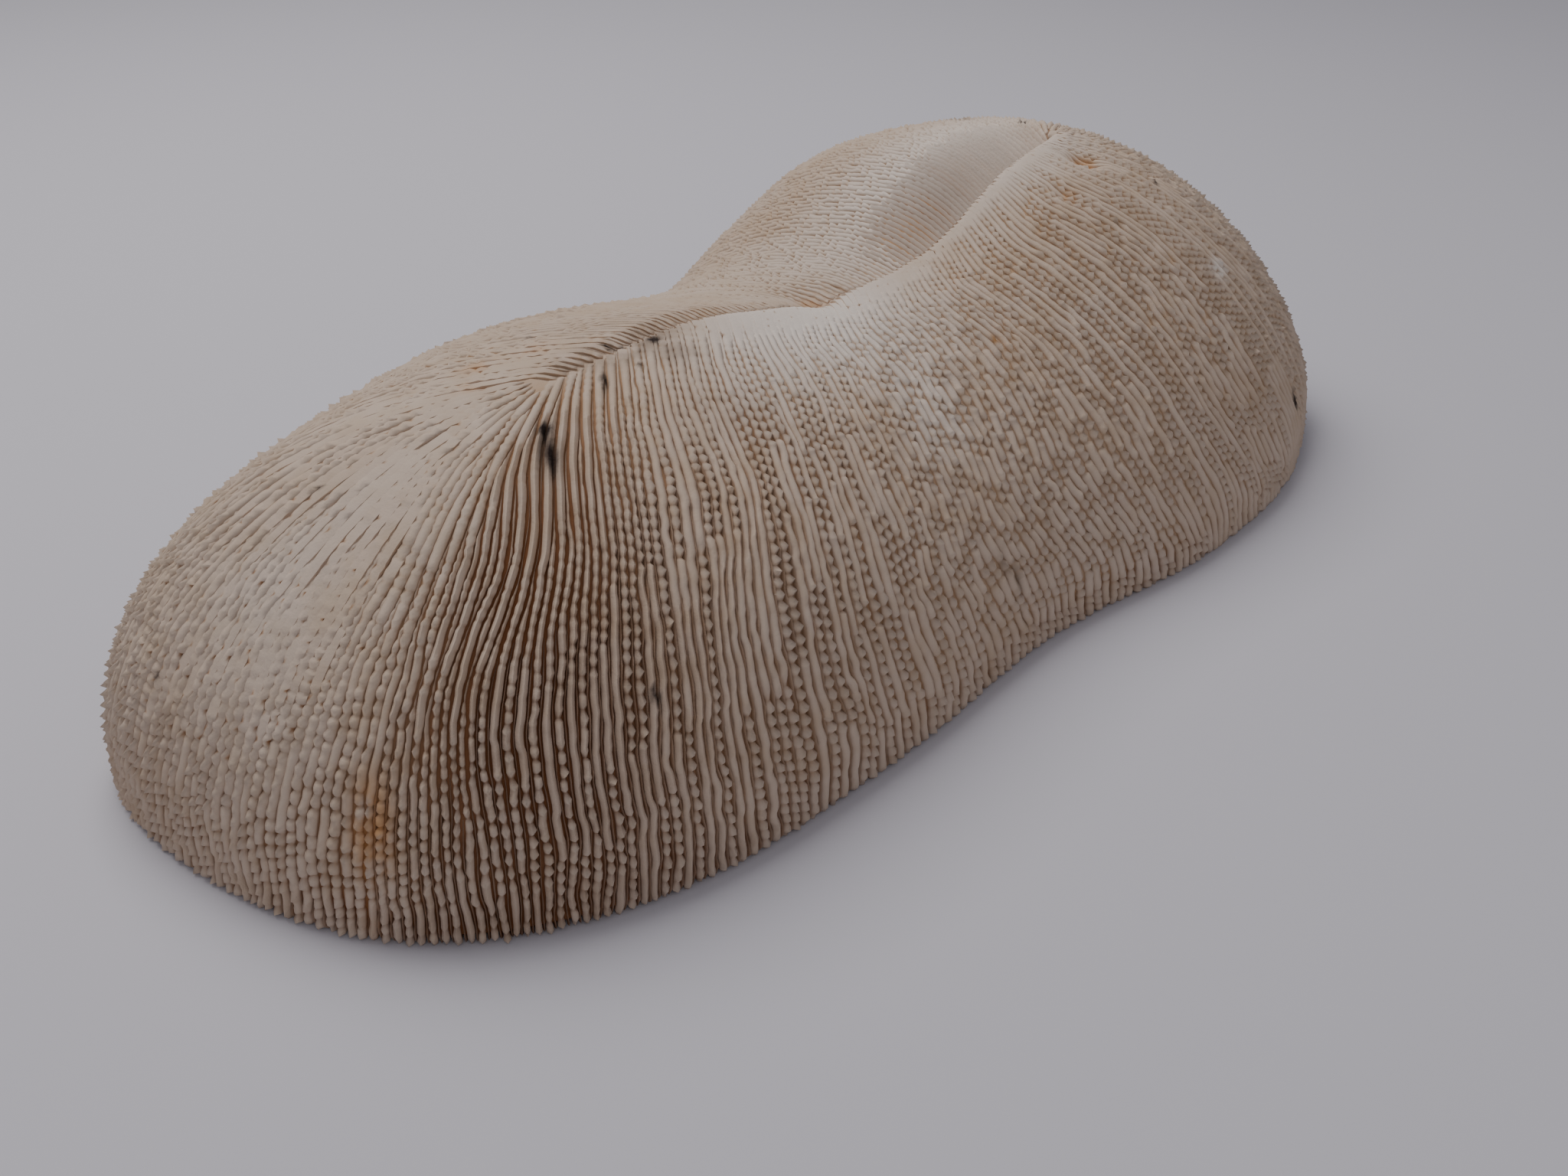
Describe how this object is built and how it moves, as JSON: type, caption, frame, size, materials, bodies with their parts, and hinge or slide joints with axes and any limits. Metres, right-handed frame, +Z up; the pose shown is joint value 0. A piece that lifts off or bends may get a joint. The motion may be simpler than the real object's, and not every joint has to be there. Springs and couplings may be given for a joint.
{
  "type": "mushroom coral",
  "caption": "Elongated, arched coral skeleton with a furrow along its crest, ridged flanks, a toothed rim and a hollow underside. It rests on its rim as a natural ornament.",
  "frame": {"origin": "centre of the bounding box, on the plane that the rim rests on", "axes": "+X along the furrow from the near lobe to the far lobe, +Z up, -Y towards the flank that faces the viewer"},
  "size_m": [0.4185, 0.214, 0.0956],
  "materials": {
    "bone": "dry, matte, chalky cream skeleton with brown grooves"
  },
  "bodies": {
    "root": {"corallum": "bone"}
  },
  "joints": []
}
